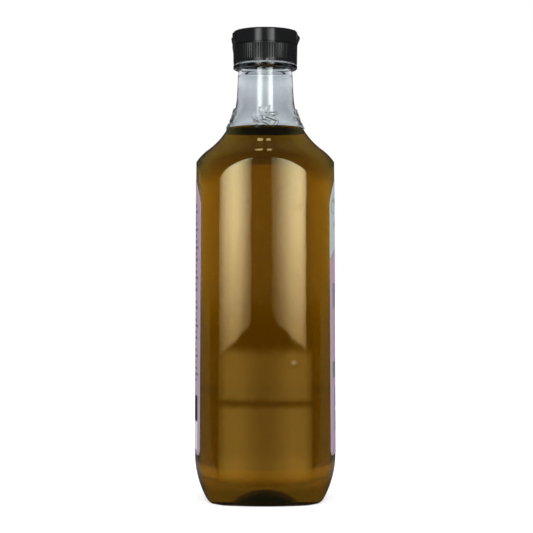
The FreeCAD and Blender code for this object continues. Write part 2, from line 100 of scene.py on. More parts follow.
NECK_LEAN = math.atan2(NECK_ROOT_RADIUS - NECK_RADIUS, RING_LOW - NECK_ROOT)
SWEEP_CENTRE = (NECK_ROOT_RADIUS + SWEEP_RADIUS * math.cos(NECK_LEAN),
                NECK_ROOT + SWEEP_RADIUS * math.sin(NECK_LEAN))


def shoulder_circle():
    """Centre of the convex shoulder: its circle touches the sweep's circle and the wall.
    The wall leans, so the centre is worked out in four rounds, each nearer."""
    across = CORNER_RADIUS - SHOULDER_RADIUS
    height = 0.0
    for _ in range(4):
        drop = math.sqrt((SWEEP_RADIUS + SHOULDER_RADIUS) ** 2 - (SWEEP_CENTRE[0] - across) ** 2)
        height = SWEEP_CENTRE[1] - drop
        across = CORNER_RADIUS - WALL_LEAN * (height - HEEL_HEIGHT) - SHOULDER_RADIUS
    return across, height


SHOULDER_CENTRE = shoulder_circle()
SPRING = SHOULDER_CENTRE[1]              # height where the corners start to turn in
MEET_ANGLE = math.atan2(SWEEP_CENTRE[1] - SHOULDER_CENTRE[1],
                        SWEEP_CENTRE[0] - SHOULDER_CENTRE[0])


def drawn_in(z, inset):
    """How far the wall at height z lies inside its outer line at the heel's top: the inset,
    the wall's lean above the heel, and below it a circle that touches the upright wall."""
    radius = HEEL_RADIUS - inset
    below = np.clip(HEEL_HEIGHT - z, 0, radius)
    heel = radius - np.sqrt(radius ** 2 - below ** 2)
    return inset + WALL_LEAN * np.maximum(z - HEEL_HEIGHT, 0) + heel


def turned_radius(z, inset):
    """Radius of the turned form at height z: leaning wall, convex shoulder circle, hollow
    sweep circle, then the neck's straight taper; inset moves the whole line inwards."""
    convex = SHOULDER_RADIUS - inset
    up = np.clip(z - SHOULDER_CENTRE[1], 0, convex)
    shoulder = SHOULDER_CENTRE[0] + np.sqrt(convex ** 2 - up ** 2)
    hollow = SWEEP_RADIUS + inset
    down = np.clip(SWEEP_CENTRE[1] - z, 0, hollow)
    sweep = SWEEP_CENTRE[0] - np.sqrt(hollow ** 2 - down ** 2)
    neck = NECK_ROOT_RADIUS - inset - math.tan(NECK_LEAN) * (z - NECK_ROOT)
    meet = SHOULDER_CENTRE[1] + convex * math.sin(MEET_ANGLE)
    radius = np.where(z < SPRING, CORNER_RADIUS - drawn_in(z, inset), shoulder)
    radius = np.where(z > meet, sweep, radius)
    return np.where(z > NECK_ROOT, neck, radius)


def panel_distance(angle, drawn):
    """Distance from the axis to a panel, angle radians off its middle: where a ray meets the
    circle of the panel's radius, less drawn, that stands PANEL_AXIS behind the axis."""
    radius = PANEL_RADIUS - drawn
    return np.sqrt(radius ** 2 - (PANEL_AXIS * np.sin(angle)) ** 2) - PANEL_AXIS * np.cos(angle)


def rounded_edge(turned, panel):
    """The smaller of turned form and panel, with the edge between them blended round."""
    near = np.clip(1 - np.abs(turned - panel) / EDGE_BLEND, 0, 1)
    return np.minimum(turned, panel) - near ** 2 * EDGE_BLEND / 4


def bunched(count, strength):
    """Even steps from -1 to 1, drawn towards both ends by a share of a sine."""
    even = np.linspace(-1, 1, count + 1)[:-1]
    return strength * np.sin(even * QUARTER) + (1 - strength) * even


def ring_of_columns(per_panel, per_corner):
    """Each column as (quadrant, share of the panel's half angle, share of the corner)."""
    panel = np.stack([bunched(per_panel, 0.6), np.zeros(per_panel)], 1)
    corner = np.stack([np.ones(per_corner), (bunched(per_corner, 0.5) + 1) / 2], 1)
    one = np.concatenate([panel, corner])
    quadrant = np.repeat(np.arange(4), len(one))
    return quadrant, np.tile(one[:, 0], 4), np.tile(one[:, 1], 4)


def angles_at(columns, drawn):
    """Each column's angle off its panel's middle and its angle about the axis, where the
    wall is drawn in: a panel meets its corner where their two circles cross."""
    quadrant, share, corner_share = columns
    corner, panel = CORNER_RADIUS - drawn, PANEL_RADIUS - drawn
    edge = np.arccos((panel ** 2 - PANEL_AXIS ** 2 - corner ** 2) / (2 * PANEL_AXIS * corner))
    off = share * edge + corner_share * (QUARTER - 2 * edge)
    return off, off + quadrant * QUARTER - QUARTER


def angles_at_height(columns, z, inset):
    """The same at height z.  Above the spring of the arches the columns go straight up."""
    return angles_at(columns, drawn_in(np.minimum(z, SPRING), inset))


ARCH_SEARCH = 24.0 * MM                  # an arch rises less than this above the spring


def arch_heights(columns, inset):
    """Height where the shoulder takes over from the panel, column by column: the first
    height above the spring where the turned form is the smaller one."""
    heights = np.linspace(SPRING, SPRING + ARCH_SEARCH, 600)[:, None]
    off = angles_at_height(columns, SPRING, inset)[0]
    inside = turned_radius(heights, inset) < panel_distance(off, drawn_in(heights, inset))
    return np.where(inside.any(0) & (columns[2] == 0), heights[inside.argmax(0), 0], SPRING)


def placed(angles, radius, z):
    """Grid of points from angle, radius and height."""
    around = angles[1]
    return np.stack([radius * np.cos(around), radius * np.sin(around), z + 0 * around], -1)


def turned_rows(columns, profile):
    """Rows of a turned surface: each (radius, height) of the profile carried round."""
    radius, z = np.array(profile).T[:, :, None]
    return placed(angles_at_height(columns, z, 0), radius, z)


def arc_points(centre, radius, start, end, count):
    """Points of a circle's arc, angles in degrees, as (radius, height) pairs."""
    turn = np.radians(np.linspace(start, end, count))
    return list(zip(centre[0] + radius * np.cos(turn), centre[1] + radius * np.sin(turn)))


def panelled_rows(columns, z, inset):
    """Rows of the panelled surface at heights z."""
    angles = angles_at_height(columns, z, inset)
    panel = panel_distance(angles[0], drawn_in(z, inset))
    return placed(angles, rounded_edge(turned_radius(z, inset), panel), z)


ARCH_CLEAR = 1.5 * MM                    # the rows beside an arch's edge reach this far from it
ARCH_ROWS = np.array([0.9, 0.5, 0.25, 0.1]) * MM
WALL_ROWS = np.array([0, 0.01, 0.05, 0.15, 0.3, 0.45, 0.6, 0.73, 0.84, 0.92, 0.97, 1])
SHOULDER_ROWS = 24


def body_rows(columns, inset, top):
    """Rows from the top of the heel to the height top.  They bend with the arch over each
    panel, so that its edge runs along a row, and crowd where that edge is rounded."""
    arch = arch_heights(columns, inset)[None]
    near = ARCH_ROWS[:, None]
    wall = HEEL_HEIGHT + WALL_ROWS[:, None] * (arch - ARCH_CLEAR - HEEL_HEIGHT)
    above = np.linspace(0, 1, SHOULDER_ROWS)[:, None]
    shoulder = arch + ARCH_CLEAR + above * (top - arch - ARCH_CLEAR)
    z = np.concatenate([wall, arch - near, arch, arch + near[::-1], shoulder])
    return panelled_rows(columns, z, inset)


def foot_rows(columns, z, drawn):
    """Rows of the foot's outline, drawn in from the wall's."""
    angles = angles_at(columns, drawn)
    panel = panel_distance(angles[0], drawn)
    return placed(angles, rounded_edge(CORNER_RADIUS - drawn, panel), z)


def heel_rows(columns, inset, floor, foot_round):
    """Rows up the heel: round the foot on a small circle, then up the heel's circle."""
    radius = HEEL_RADIUS - inset
    tilt = math.asin((HEEL_HEIGHT - floor - foot_round) / (radius - foot_round))
    z = HEEL_HEIGHT - radius * np.sin(np.linspace(tilt, 0, 15)[:-1])
    rows = panelled_rows(columns, z[:, None], inset)
    if not foot_round:
        return rows
    turn = np.linspace(-QUARTER, -tilt, 6)[:-1, None]
    lift = floor + foot_round * (1 + np.sin(turn))
    drawn = HEEL_RADIUS - (radius - foot_round) * math.cos(tilt) - foot_round * np.cos(turn)
    return np.concatenate([foot_rows(columns, lift, drawn), rows])


def base_rows(columns, floor, rim, steps):
    """Rows from the middle of the base outwards: the push-up's dome, the recess and the
    flat rim, which widens from a circle to the foot's outline."""
    rise, (edge_radius, _) = PUNT_RISE - PUNT[0][1], PUNT[0]
    dome = (rise ** 2 + edge_radius ** 2) / (2 * rise)
    spread = math.degrees(math.asin(edge_radius / dome))
    profile = arc_points((0, PUNT_RISE - dome), dome, 90, 90 - spread, DOME_ROWS)
    for (r0, z0), (r1, z1) in zip(PUNT, PUNT[1:]):
        profile += [(r0 + (r1 - r0) * t, z0 + (z1 - z0) * t) for t in np.linspace(0, 1, 5)[1:]]
    rows = turned_rows(columns, [(r, z + floor) for r, z in profile])
    out = np.linspace(0, 1, steps + 1)[1:-1, None, None]
    return np.concatenate([rows, rows[-1:] + out * (rim - rows[-1:])])


SPRIG_LEAVES = [  # foot across and up, tip across and up, half width (mm), bend
    (-3.6, -2.8, -7.6, 1.6, 1.15, 0.2), (-1.8, -0.6, -3.4, 4.8, 1.15, -0.2),
    (0.4, 1.2, 2.4, 5.8, 1.1, 0.2), (1.6, 1.4, 7.4, 1.9, 1.1, -0.25),
    (-0.2, -0.6, 6.4, -3.0, 1.2, 0.25), (-2.4, -2.6, 2.6, -5.6, 1.15, 0.2),
]
SPRIG_OLIVES = [(-4.6, -4.9, 1.9, 1.5)]  # middle across and up, half length and width (mm)
SPRIG_HEIGHT = 211.6 * MM
SPRIG_PATCH = 7.0 * MM                   # the neck's rows are close together this far from it
SPRIG_RELIEF = 1.1 * MM
SPRIG_EDGE = 0.45                        # width of a leaf's sloping edge, mm
BEAD_STAND = 0.12 * MM                   # a slight bead that the mould leaves under the ring
BEAD_DEPTH = 3.0 * MM
BEAD_WIDTH = 0.35 * MM
BEAD_ROWS = 4.5 * MM                     # the rows are close together this far from the ring


def sprig_relief(across, up):
    """Height of the raised sprig, 0 to 1: each leaf a low plateau, an oval bent round an
    arc, each olive an oval dome cut off flat."""
    height = np.zeros_like(across)
    for x, y, tip_x, tip_y, half_width, bend in SPRIG_LEAVES:
        length = math.hypot(tip_x - x, tip_y - y)
        run, rise = (tip_x - x) / length, (tip_y - y) / length
        along = ((across - x) * run + (up - y) * rise) / length
        bow = 4 * along * (1 - along)
        side = (up - y) * run - (across - x) * rise - bend * length * bow * 0.5
        half = half_width * np.sqrt(np.clip(bow, 0, 1))
        height = np.maximum(height, np.clip((half - np.abs(side)) / SPRIG_EDGE, 0, 1))
    for x, y, length, width in SPRIG_OLIVES:
        reach = np.hypot((across - x) / length, (up - y) / width)
        height = np.maximum(height, np.clip((1 - reach) * width / SPRIG_EDGE, 0, 1))
    return height


def neck_rows(columns, low, high):
    """Rows of the neck from low to high, with a sprig raised on each of the four sides and
    a slight bead under the support ring, whose section is a bell curve."""
    z = np.concatenate([
        np.linspace(low, SPRIG_HEIGHT - SPRIG_PATCH, 4)[:-1],
        np.linspace(SPRIG_HEIGHT - SPRIG_PATCH, SPRIG_HEIGHT + SPRIG_PATCH, 58)[:-1],
        np.linspace(SPRIG_HEIGHT + SPRIG_PATCH, high - BEAD_ROWS, 8)[:-1],
        np.linspace(high - BEAD_ROWS, high, 8)])[:, None]
    angles = angles_at_height(columns, z, 0)
    radius = turned_radius(z, 0) + 0 * angles[0]
    height = sprig_relief(angles[0] * radius / MM, (z - SPRIG_HEIGHT) / MM)
    bead = BEAD_STAND * np.exp(-((z - (high - BEAD_DEPTH)) / BEAD_WIDTH) ** 2)
    return placed(angles, radius + SPRIG_RELIEF * height + bead, z)


def surface(name, grid, materials, starts=()):
    """A closed mesh from a grid whose rows start and end on the axis: the first and last
    rows become single points, and the columns join up round the axis.  Faces from each row
    in starts onwards take the next material."""
    rows, count = grid.shape[0] - 2, grid.shape[1]
    points = np.concatenate([grid[0, :1], grid[1:-1].reshape(-1, 3), grid[-1, :1]])
    row_starts = 1 + np.arange(rows - 1)[:, None] * count
    here = row_starts + np.arange(count)[None]
    there = row_starts + (np.arange(count)[None] + 1) % count
    quads = np.stack([here, there, there + count, here + count], -1).reshape(-1, 4)
    column = np.arange(count)
    onward = (column + 1) % count
    last = 1 + (rows - 1) * count
    first_fan = np.stack([np.zeros(count, int), 1 + onward, 1 + column], 1)
    last_fan = np.stack([last + column, last + onward, np.full(count, last + count)], 1)
    mesh = bpy.data.meshes.new(name)
    mesh.from_pydata(points.tolist(), [],
                     quads.tolist() + first_fan.tolist() + last_fan.tolist())
    mesh.shade_smooth()
    for material in materials:
        mesh.materials.append(material)
    if starts:
        slots = np.zeros(len(mesh.polygons), int)
        for start in starts:
            slots[(start - 1) * count:len(quads)] += 1
        slots[len(quads) + count:] = len(starts)
        mesh.polygons.foreach_set("material_index", slots)
    piece = bpy.data.objects.new(name, mesh)
    bpy.context.scene.collection.objects.link(piece)
    return piece


def linear(colour):
    """An sRGB hex colour as linear light, with full alpha."""
    channels = [int(colour[i:i + 2], 16) / 255 for i in (1, 3, 5)]
    return [c / 12.92 if c <= 0.04045 else ((c + 0.055) / 1.055) ** 2.4
            for c in channels] + [1.0]


def add(material, kind, inputs=None, stops=(), **settings):
    """Add a node.  inputs are its inputs by name or number: another node, whose first output
    is linked, a (node, output) pair, or a plain value.  settings are its properties or, where
    it has none of that name, its inputs' values.  stops are a ramp's (position, grey or hex)."""
    node = material.node_tree.nodes.new(kind)
    for name, value in settings.items():
        socket = name.replace("_", " ")
        if socket in node.inputs:
            node.inputs[socket].default_value = value
        else:
            setattr(node, name, value)
    for name, value in (inputs or {}).items():
        source = (value, 0) if isinstance(value, bpy.types.Node) else value
        if isinstance(source, tuple) and isinstance(source[0], bpy.types.Node):
            material.node_tree.links.new(source[0].outputs[source[1]], node.inputs[name])
        else:
            node.inputs[name].default_value = value
    if stops:
        ramp = node.color_ramp.elements
        ramp.remove(ramp[1])
        for index, (position, tone) in enumerate(stops):
            stop = ramp[0] if index == 0 else ramp.new(position)
            stop.position = position
            stop.color = linear(tone) if isinstance(tone, str) else (tone, tone, tone, 1)
    return node


def new_material(name):
    """An empty node material."""
    material = bpy.data.materials.new(name)
    material.use_nodes = True
    material.node_tree.nodes.clear()
    return material


WAVE_LENGTH = 26.3 * MM                  # of the wall's shallow waves, drawn out upwards
STREAK_LENGTH = 3.846 * MM               # of the finer streaks on them
WORN_GRAIN = 1.111 * MM                  # of the worn spots' roughness, drawn coarse to show
SCUFFS = [  # small worn spots on the front panel: middle and reach
    ((0.0171, -0.0375, 0.1612), 2.4 * MM), ((-0.0026, -0.0385, 0.1505), 1.7 * MM),
    ((0.0152, -0.0378, 0.0765), 2.2 * MM),
]


def clear_plastic(name, mirror, tint):
    """PET as blown: hard and glass-clear with the faintest blue-grey, smooth from the mould's
    polished steel but with the very shallow, long waves that a stretched wall has, so that
    highlights wander slightly.  mirror is a colour painted onto what its faces mirror, where a
    clear face mirrors white: the wall's wetted face, which lies in the oil, gets a painted yellow
    sheen, and the push-up a painted brown reflection."""
    material = new_material(name)
    place = add(material, "ShaderNodeTexCoord")
    drawn = add(material, "ShaderNodeMapping", {"Vector": (place, "Object")},
                Scale=(1.0, 1.0, 0.3))
    wave = add(material, "ShaderNodeTexNoise", {"Vector": (drawn, "Vector")},
               Scale=1 / WAVE_LENGTH, Detail=1.0)
    bump = add(material, "ShaderNodeBump", {"Height": (wave, "Fac")},
               Strength=0.09, Distance=1.2 * MM)
    streak = add(material, "ShaderNodeTexNoise", {"Vector": (drawn, "Vector")},
                 Scale=1 / STREAK_LENGTH, Detail=1.0)
    bump = add(material, "ShaderNodeBump", {"Height": (streak, "Fac"),
                                            "Normal": (bump, "Normal")},
               Strength=0.05, Distance=0.3 * MM)
    worn = add(material, "ShaderNodeTexNoise", {"Vector": (place, "Object")},
               Scale=1 / WORN_GRAIN, Detail=2.0)
    for point, reach in SCUFFS:
        far = add(material, "ShaderNodeVectorMath", {0: (place, "Object"), 1: point},
                  operation="DISTANCE")
        near = add(material, "ShaderNodeMapRange", {"Value": (far, "Value")},
                   From_Min=0.3 * reach, From_Max=reach, To_Min=1.0, To_Max=0.0)
        scuff = add(material, "ShaderNodeMath", {0: (near, "Result"), 1: (worn, "Fac")},
                    operation="MULTIPLY")
        bump = add(material, "ShaderNodeBump", {"Height": (scuff, "Value"),
                                                "Normal": (bump, "Normal")},
                   Strength=0.25, Distance=0.4 * MM)
    face = add(material, "ShaderNodeBsdfPrincipled", {"Normal": (bump, "Normal")},
               Base_Color=linear(tint), Roughness=0.03, IOR=1.57,
               Transmission_Weight=1.0, Specular_Tint=linear(mirror))
    add(material, "ShaderNodeOutputMaterial", {"Surface": (face, "BSDF")})
    return material


pet = clear_plastic("clear_PET_blown", "#FFFFFF", "#F5FBFF")
# Its mirror colour paints a yellow sheen into the highlights on the wetted face.
wetted_pet = clear_plastic("clear_PET_wetted_by_oil", "#FFF17C", "#C6CBCF")
# The push-up is left thick, because the preform is hardly stretched there.  Its darker brown tint
# is painted shade from under the bottle, and its brown mirror colour a painted reflection.
push_up_pet_painted_shade = clear_plastic("clear_PET_thick_push_up", "#A08950", "#817359")

shell_columns = ring_of_columns(100, 22)
outer_heel = heel_rows(shell_columns, 0, 0.0, FOOT_ROUND)
inner_heel = heel_rows(shell_columns, WALL, BASE_WALL, 0.0)
ring_middle = RING_RADIUS - RING_ROUND
ring = (arc_points((ring_middle, RING_LOW + RING_ROUND), RING_ROUND, -90, 0, 7)
        + arc_points((ring_middle, RING_HIGH - RING_ROUND), RING_ROUND, 0, 90, 7))
mouth = [(FINISH_RADIUS, RING_HIGH), (FINISH_RADIUS, NECK_TOP - MOUTH_BEVEL),
         (FINISH_RADIUS - MOUTH_BEVEL, NECK_TOP), (BORE_RADIUS + MOUTH_BEVEL, NECK_TOP),
         (BORE_RADIUS, NECK_TOP - MOUTH_BEVEL), (BORE_RADIUS, RING_HIGH)]


def eased(share):
    """A share, held between 0 and 1, that starts and ends gently: 3 s squared less 2 s cubed."""
    share = np.clip(share, 0, 1)
    return share ** 2 * (3 - 2 * share)


wet_top = OIL_LEVEL + MENISCUS
bore_foot = RING_HIGH - NECK_BLEND
neck_z = np.concatenate([np.linspace(RING_HIGH, bore_foot, 24)[1:],
                         np.linspace(bore_foot, wet_top, 30)[1:-1]])
inner_neck = turned_radius(neck_z, WALL) - NECK_EXTRA * eased((neck_z - wet_top) / NECK_EXTRA_RUN)
thicken = eased((neck_z - bore_foot) / NECK_BLEND)
inner_neck = inner_neck * (1 - thicken) + BORE_RADIUS * thicken
dry_rows = np.concatenate([
    base_rows(shell_columns, 0.0, outer_heel[:1], 3),
    outer_heel,
    body_rows(shell_columns, 0, NECK_FOOT)[:-1],
    neck_rows(shell_columns, NECK_FOOT, RING_LOW),
    turned_rows(shell_columns, ring + mouth + list(zip(inner_neck, neck_z))),
])
wet_rows = np.concatenate([
    body_rows(shell_columns, WALL, wet_top)[::-1],
    inner_heel[::-1],
    base_rows(shell_columns, BASE_WALL, inner_heel[:1], 3)[::-1],
])
bottle_shell = surface("bottle_shell", np.concatenate([dry_rows, wet_rows]),
                       [pet, wetted_pet, push_up_pet_painted_shade],
                       starts=(len(dry_rows), len(dry_rows) + len(wet_rows) - DOME_ROWS))
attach(bottle_shell, "filled_bottle")
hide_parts("bottle")


# ------------------------------------------------------------------- lugs on the support ring
# Two upright lugs of the same clear PET, moulded with the preform's ring, one in front and
# one behind.  They sit in notches in the closure's edge and stop it turning.

LUG_ACROSS = 1.1 * MM
LUG_HALF = (0.4 * MM, 1.45 * MM)
LUG_OUT = 16.65 * MM
LUG_LINE = [(240.9, 0), (240.9, 1), (243.1, 1), (243.24, 0.9), (243.3, 0.7), (243.3, 0)]


def lug_rows(outward):
    """Rows of an upright lug: a rounded oblong, whose cosine and sine are raised to a power
    that squares the circle, at each height (mm) and share of LUG_LINE."""
    turn = np.linspace(0, 2 * math.pi, 40, endpoint=False)
    across, out = (np.sign(wave) * np.abs(wave) ** 0.35 for wave in (np.cos(turn), np.sin(turn)))
    return np.array([np.stack([LUG_ACROSS + LUG_HALF[0] * share * across,
                               outward * LUG_OUT + LUG_HALF[1] * share * out,
                               z * MM + 0 * turn], -1) for z, share in LUG_LINE])


for side, outward in (("front", -1), ("back", 1)):
    lug = surface(f"ring_lug_{side}", lug_rows(outward), [pet])
    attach(lug, "filled_bottle")
    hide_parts("bottle")


# ------------------------------------------------------------------------------- the oil
# Refined and virgin olive oil, dark gold through the whole width of the bottle.  It wets
# the PET, so its surface climbs the wall all round the neck in a small meniscus.

REACH = 0.15 * MM                        # how far it reaches into the wall, so no gap shows
CAPILLARY = 1.9 * MM                     # how fast the climb fades with distance from the wall
UNEVEN = 0.3 * MM                        # how unevenly the oil has drained back round the wall

# The oil takes up blue light most and red light least, and the more, the deeper it is.
olive_oil = new_material("olive_oil")
# Its mirror colour is a painted yellow sheen in the oil's highlights, which a clear surface
# mirrors white.
oil_face = add(olive_oil, "ShaderNodeBsdfPrincipled", Base_Color=linear("#FFFFFF"),
               Roughness=0.0, IOR=1.47, Transmission_Weight=1.0,
               Specular_Tint=linear("#FFF13F"))
oil_depth = add(olive_oil, "ShaderNodeVolumeAbsorption", Density=120.0,
                Color=linear("#F0E163"))
add(olive_oil, "ShaderNodeOutputMaterial", {"Surface": (oil_face, "BSDF"),
                                            "Volume": (oil_depth, "Volume")})

oil_columns = ring_of_columns(48, 16)
oil_inset = WALL - REACH
oil_heel = heel_rows(oil_columns, oil_inset, BASE_WALL - REACH, 0.0)
surface_radius = float(turned_radius(np.array(wet_top), oil_inset))
from_wall = np.concatenate([np.geomspace(0.05, 6, 14) * MM,
                            np.linspace(7 * MM, surface_radius, 6)])
climb = MENISCUS * np.exp(-from_wall / CAPILLARY)
oil_top = turned_rows(oil_columns, np.stack([surface_radius - from_wall, OIL_LEVEL + climb], 1))
around = np.arctan2(oil_top[:, :, 1], oil_top[:, :, 0])
near_wall = np.exp((np.hypot(oil_top[:, :, 0], oil_top[:, :, 1]) - surface_radius) / CAPILLARY)
drained = UNEVEN * near_wall * (1 + np.sin(7 * around + 1) * np.cos(3 * around))
oil_top[1:-1, :, 2] -= drained[1:-1]
oil_body = surface("oil_body", np.concatenate([
    base_rows(oil_columns, BASE_WALL - REACH, oil_heel[:1], 3),
    oil_heel,
    body_rows(oil_columns, oil_inset, wet_top),
    oil_top,
]), [olive_oil])
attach(oil_body, "filled_bottle")
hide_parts("oil")


# --------------------------------------------------------------------------- the closure
# Flip-top closure injection-moulded in black polypropylene: ribbed skirt, pouring deck and
# lid come out of the mould as one piece, joined by a thin film that bends as the hinge.

GRAIN = 0.625 * MM                       # of the eroded mould's surface, drawn coarse to show


def black_plastic(name, roughness):
    """Polypropylene from a finely eroded mould: deep black with a sheen, softer where the
    mould is rougher."""
    material = new_material(name)
    place = add(material, "ShaderNodeTexCoord")
    grain = add(material, "ShaderNodeTexNoise", {"Vector": (place, "Object")},
                Scale=1 / GRAIN, Detail=2.0)
    bump = add(material, "ShaderNodeBump", {"Height": (grain, "Fac")},
               Strength=0.12, Distance=0.02 * MM)
    face = add(material, "ShaderNodeBsdfPrincipled", {"Normal": (bump, "Normal")},
               Base_Color=linear("#17191A"), Roughness=roughness, IOR=1.5)
    add(material, "ShaderNodeOutputMaterial", {"Surface": (face, "BSDF")})
    return material


lid_plastic = black_plastic("black_polypropylene_moulded", 0.15)
frame["nodes"]["closure_lid"].data.materials[0] = lid_plastic
frame["nodes"]["closure_base"].data.materials[0] = black_plastic("black_polypropylene_satin", 0.23)


# ----------------------------------------------------------------------- the hinge's film
# A bead of the same plastic along the fold, moulded with the closure.  It grips the lip of the
# skirt and the lip of the lid, and is built straight along the hinge's line.

FILM_ASIDE = 0.17 * MM                   # its middle stands this far in from the hinge's line
FILM_HALF = 6.9 * MM
FILM_THICK = (0.17 * MM, 0.42 * MM)
FILM_LINE = [(-FILM_HALF, 0), (-FILM_HALF, 1), (0, 1), (FILM_HALF, 1), (FILM_HALF, 0)]

film_turn = np.linspace(0, 2 * math.pi, 24, endpoint=False)
hinge = np.array(frame["joints"][0]["pos_m"]) + [FILM_ASIDE, 0, 0]
# Each row is an oval across the hinge, at a place along it and a share of its thickness.
film_rows = np.array([np.stack([hinge[0] + FILM_THICK[0] * share * np.cos(film_turn),
                                along + 0 * film_turn,
                                hinge[2] - FILM_THICK[1] * share * np.sin(film_turn)], -1)
                      for along, share in FILM_LINE])
hinge_film = surface("hinge_film", film_rows, [lid_plastic])
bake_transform(hinge_film)


# ------------------------------------------------------------------------------- labels
# Coated paper, self-adhesive, on the panels that face +X and -X.  Both have an arched top
# and rounded lower corners.  The print is made of plain fields, bars and a drawn sprig.

LABEL_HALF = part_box("label_front")[1].y
LABEL_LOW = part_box("label_front")[0].z
LABEL_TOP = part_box("label_front")[1].z
ARCH_RISE = 14.09 * MM
ARCH_RADIUS = (LABEL_HALF ** 2 + ARCH_RISE ** 2) / (2 * ARCH_RISE)
LABEL_CORNER = 4.0 * MM
LABEL_THICK = 0.13 * MM
LABEL_GRIP = 0.03 * MM                   # how far the gum reaches in, so that no gap shows
LABEL_SHARE = 0.9999                     # of the width, so that it stays inside the solid's box


def label_sheet(outward, lift):
    """Points of a label's face: evenly spaced across and up between its lower edge, with
    rounded corners, and its arched upper one, lift outside the panel's curve."""
    across = np.sin(np.linspace(-1, 1, 81) * QUARTER)[None] * LABEL_HALF * LABEL_SHARE
    corner = np.clip(np.abs(across) - LABEL_HALF + LABEL_CORNER, 0, LABEL_CORNER)
    low = LABEL_LOW + LABEL_CORNER - np.sqrt(LABEL_CORNER ** 2 - corner ** 2)
    high = LABEL_TOP - ARCH_RADIUS + np.sqrt(ARCH_RADIUS ** 2 - across ** 2)
    z = low + np.linspace(0, 1, 60)[:, None] * (high - low)
    radius = PANEL_RADIUS - WALL_LEAN * (z - HEEL_HEIGHT) + lift
    out = np.sqrt(radius ** 2 - across ** 2) - PANEL_AXIS
    return np.stack([outward * out, outward * across + 0 * z, z], -1)


def label_piece(name, outward, material):
    """A label: its printed face and its gummed one, joined round the edge."""
    front, back = label_sheet(outward, LABEL_THICK), label_sheet(outward, -LABEL_GRIP)
    rows, columns = front.shape[:2]
    cell = np.arange(rows * columns).reshape(rows, columns)
    faces = np.stack([cell[:-1, :-1], cell[:-1, 1:], cell[1:, 1:], cell[1:, :-1]], -1)
    faces = faces.reshape(-1, 4)
    border = np.concatenate([cell[0, :-1], cell[:-1, -1], cell[-1, :0:-1], cell[:0:-1, 0]])
    onward, under = np.roll(border, -1), rows * columns
    edge = np.stack([border, border + under, onward + under, onward], 1)
    mesh = bpy.data.meshes.new(name)
    mesh.from_pydata(np.concatenate([front, back]).reshape(-1, 3).tolist(), [],
                     faces.tolist() + (faces[:, ::-1] + under).tolist() + edge.tolist())
    mesh.shade_smooth()
    smooth = np.ones(len(mesh.polygons), bool)
    smooth[-len(edge):] = False
    mesh.polygons.foreach_set("use_smooth", smooth)
    mesh.materials.append(material)
    piece = bpy.data.objects.new(name, mesh)
    bpy.context.scene.collection.objects.link(piece)
    return piece


PAPER_FIBRE = 1.111 * MM                 # drawn coarse to show


class Print:
    """A printed paper, painted field by field: places are in millimetres across (the
    object's Y) and up (its Z)."""

    def __init__(self, name, ground):
        self.material = new_material(name)
        self.place = add(self.material, "ShaderNodeTexCoord")
        self.sheet = add(self.material, "ShaderNodeVectorMath",
                         {0: (self.place, "Object"), 1: (0.0, 1 / MM, 1 / MM)},
                         operation="MULTIPLY")
        axes = add(self.material, "ShaderNodeSeparateXYZ", {"Vector": (self.sheet, "Vector")})
        self.across, self.up = (axes, "Y"), (axes, "Z")
        paper = add(self.material, "ShaderNodeRGB")
        paper.outputs[0].default_value = linear(ground)
        self.colour = (paper, "Color")

    def paint(self, mask, colour):
        """Lay a colour over what is there, where the mask is 1."""
        mix = add(self.material, "ShaderNodeMix", {0: mask, 6: self.colour, 7: linear(colour)},
                  data_type="RGBA")
        self.colour = (mix, 2)

    def frame(self, across, up, half_across, half_up, tilt=0.0):
        """Place in a shape's own frame, 1 at the end of either half size: the place less the
        shape's middle, turned back by its tilt and divided by its half sizes."""
        return add(self.material, "ShaderNodeMapping", {"Vector": (self.sheet, "Vector")},
                   vector_type="TEXTURE", Location=(0.0, across, up),
                   Rotation=(math.radians(tilt), 0.0, 0.0),
                   Scale=(1.0, half_across, half_up)), "Vector"

    def oblong(self, colour, *place):
        """A filled oblong: the greater of across and up, in its own frame, is under 1."""
        size = add(self.material, "ShaderNodeVectorMath", {0: self.frame(*place)},
                   operation="ABSOLUTE")
        sides = add(self.material, "ShaderNodeSeparateXYZ", {"Vector": (size, "Vector")})
        reach = add(self.material, "ShaderNodeMath", {0: (sides, "Y"), 1: (sides, "Z")},
                    operation="MAXIMUM")
        inside = add(self.material, "ShaderNodeMath", {0: reach, 1: 1.0}, operation="LESS_THAN")
        self.paint(inside, colour)

    def oval(self, colour, line, *place):
        """An oval drawn as a line, a share of its size thick; 1 fills it."""
        reach = add(self.material, "ShaderNodeVectorMath", {0: self.frame(*place)},
                    operation="LENGTH"), "Value"
        outer = add(self.material, "ShaderNodeMath", {0: reach, 1: 1.0 - line},
                    operation="GREATER_THAN")
        inside = add(self.material, "ShaderNodeMath", {0: reach, 1: 1.0}, operation="LESS_THAN")
        drawn = add(self.material, "ShaderNodeMath", {0: outer, 1: inside}, operation="MULTIPLY")
        self.paint(drawn, colour)

    def finish(self):
        """Join the print to a satin paper with a slight tooth, its ink a little uneven."""
        fibre = add(self.material, "ShaderNodeTexNoise", {"Vector": (self.place, "Object")},
                    Scale=1 / PAPER_FIBRE, Detail=3.0)
        uneven = add(self.material, "ShaderNodeMapRange", {"Value": (fibre, "Fac")},
                     To_Min=0.93, To_Max=1.05)
        ink = add(self.material, "ShaderNodeHueSaturation", {"Value": (uneven, "Result"),
                                                             "Color": self.colour})
        tooth = add(self.material, "ShaderNodeBump", {"Height": (fibre, "Fac")},
                    Strength=0.15, Distance=0.03 * MM)
        face = add(self.material, "ShaderNodeBsdfPrincipled",
                   {"Base Color": (ink, "Color"), "Normal": (tooth, "Normal")}, Roughness=0.42)
        add(self.material, "ShaderNodeOutputMaterial", {"Surface": (face, "BSDF")})


LILAC, PALE, INK = "#BDA4BB", "#C3CFD1", "#4C5052"

